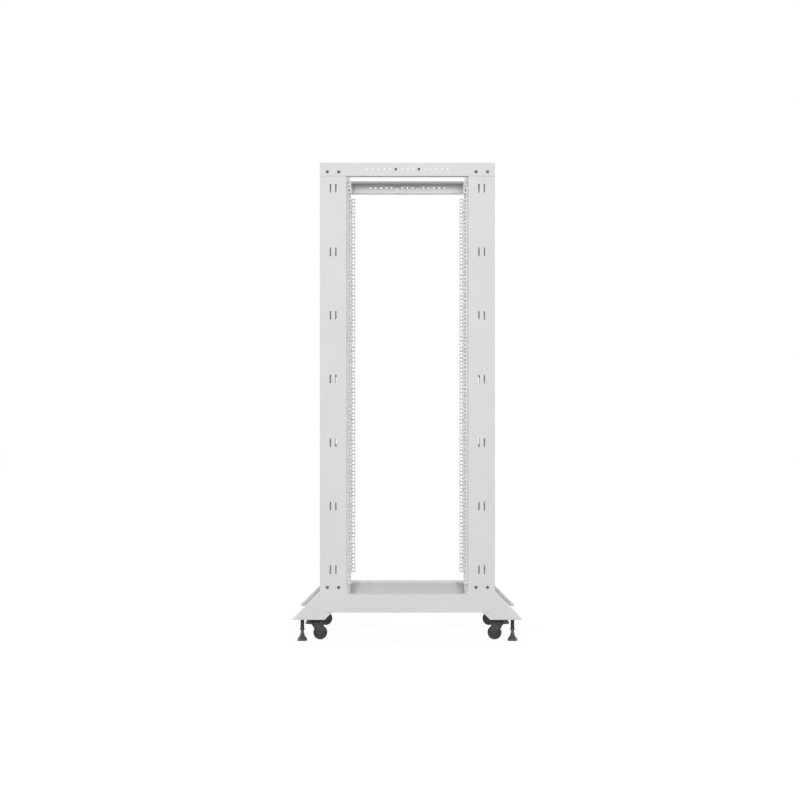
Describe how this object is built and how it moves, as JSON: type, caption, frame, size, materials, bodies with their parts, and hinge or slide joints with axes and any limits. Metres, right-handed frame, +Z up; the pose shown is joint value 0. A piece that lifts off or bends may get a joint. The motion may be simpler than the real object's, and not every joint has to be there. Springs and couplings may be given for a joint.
{
  "type": "four post open frame rack",
  "caption": "Open frame of sheet steel with four slotted posts, square hole equipment rails, splayed feet, swivel casters and levelling feet.",
  "frame": {"origin": "middle of the footprint, on the floor", "axes": "+Z up, front faces -Y, +X to the right of someone who faces the front"},
  "size_m": [0.919, 0.8, 1.912],
  "materials": {
    "frame_paint": "light grey powder coat, satin, with a very fine texture",
    "caster_steel": "dark grey coated pressed steel, satin",
    "wheel_rubber": "dark solid tread and hub, matt",
    "fastener_steel": "dark zinc-plated steel, satin",
    "leveller_pad": "black moulded plastic, matt"
  },
  "bodies": {
    "frame": {"post_front_left": "frame_paint", "post_front_right": "frame_paint", "post_rear_left": "frame_paint", "post_rear_right": "frame_paint", "mounting_rail_front_left": "frame_paint", "mounting_rail_front_right": "frame_paint", "mounting_rail_rear_left": "frame_paint", "mounting_rail_rear_right": "frame_paint", "foot_front_left": "frame_paint", "foot_front_right": "frame_paint", "foot_rear_left": "frame_paint", "foot_rear_right": "frame_paint", "caster_plate_front_left": "caster_steel", "caster_plate_front_right": "caster_steel", "caster_plate_rear_left": "caster_steel", "caster_plate_rear_right": "caster_steel", "top_beam_front": "frame_paint", "top_beam_rear": "frame_paint", "base_beam_front": "frame_paint", "base_beam_rear": "frame_paint", "top_side_rail_right": "frame_paint", "top_side_rail_left": "frame_paint", "base_side_rail_right": "frame_paint", "base_side_rail_left": "frame_paint"},
    "caster_front_left": {"caster_fork_front_left": "caster_steel", "caster_axle_front_left": "caster_steel"},
    "wheel_front_left": {"caster_wheel_front_left": "wheel_rubber"},
    "leveller_front_left": {"leveller_stud_front_left": "fastener_steel", "leveller_pad_front_left": "leveller_pad"},
    "caster_front_right": {"caster_fork_front_right": "caster_steel", "caster_axle_front_right": "caster_steel"},
    "wheel_front_right": {"caster_wheel_front_right": "wheel_rubber"},
    "leveller_front_right": {"leveller_stud_front_right": "fastener_steel", "leveller_pad_front_right": "leveller_pad"},
    "caster_rear_left": {"caster_fork_rear_left": "caster_steel", "caster_axle_rear_left": "caster_steel"},
    "wheel_rear_left": {"caster_wheel_rear_left": "wheel_rubber"},
    "leveller_rear_left": {"leveller_stud_rear_left": "fastener_steel", "leveller_pad_rear_left": "leveller_pad"},
    "caster_rear_right": {"caster_fork_rear_right": "caster_steel", "caster_axle_rear_right": "caster_steel"},
    "wheel_rear_right": {"caster_wheel_rear_right": "wheel_rubber"},
    "leveller_rear_right": {"leveller_stud_rear_right": "fastener_steel", "leveller_pad_rear_right": "leveller_pad"}
  },
  "joints": [
    {"name": "swivel_front_left", "type": "hinge", "parent": "frame", "child": "caster_front_left", "pos_m": [-0.37, -0.316, 0.08], "axis": [0, 0, 1], "continuous": true},
    {"name": "roll_front_left", "type": "hinge", "parent": "caster_front_left", "child": "wheel_front_left", "pos_m": [-0.351, -0.316, 0.028], "axis": [0, 1, 0], "continuous": true},
    {"name": "height_front_left", "type": "slide", "parent": "frame", "child": "leveller_front_left", "axis": [0, 0, 1], "range_m": [-0.01, 0.02]},
    {"name": "swivel_front_right", "type": "hinge", "parent": "frame", "child": "caster_front_right", "pos_m": [0.37, -0.316, 0.08], "axis": [0, 0, 1], "continuous": true},
    {"name": "roll_front_right", "type": "hinge", "parent": "caster_front_right", "child": "wheel_front_right", "pos_m": [0.351, -0.316, 0.028], "axis": [0, 1, 0], "continuous": true},
    {"name": "height_front_right", "type": "slide", "parent": "frame", "child": "leveller_front_right", "axis": [0, 0, 1], "range_m": [-0.01, 0.02]},
    {"name": "swivel_rear_left", "type": "hinge", "parent": "frame", "child": "caster_rear_left", "pos_m": [-0.37, 0.316, 0.08], "axis": [0, 0, 1], "continuous": true},
    {"name": "roll_rear_left", "type": "hinge", "parent": "caster_rear_left", "child": "wheel_rear_left", "pos_m": [-0.351, 0.316, 0.028], "axis": [0, 1, 0], "continuous": true},
    {"name": "height_rear_left", "type": "slide", "parent": "frame", "child": "leveller_rear_left", "axis": [0, 0, 1], "range_m": [-0.01, 0.02]},
    {"name": "swivel_rear_right", "type": "hinge", "parent": "frame", "child": "caster_rear_right", "pos_m": [0.37, 0.316, 0.08], "axis": [0, 0, 1], "continuous": true},
    {"name": "roll_rear_right", "type": "hinge", "parent": "caster_rear_right", "child": "wheel_rear_right", "pos_m": [0.351, 0.316, 0.028], "axis": [0, 1, 0], "continuous": true},
    {"name": "height_rear_right", "type": "slide", "parent": "frame", "child": "leveller_rear_right", "axis": [0, 0, 1], "range_m": [-0.01, 0.02]}
  ]
}
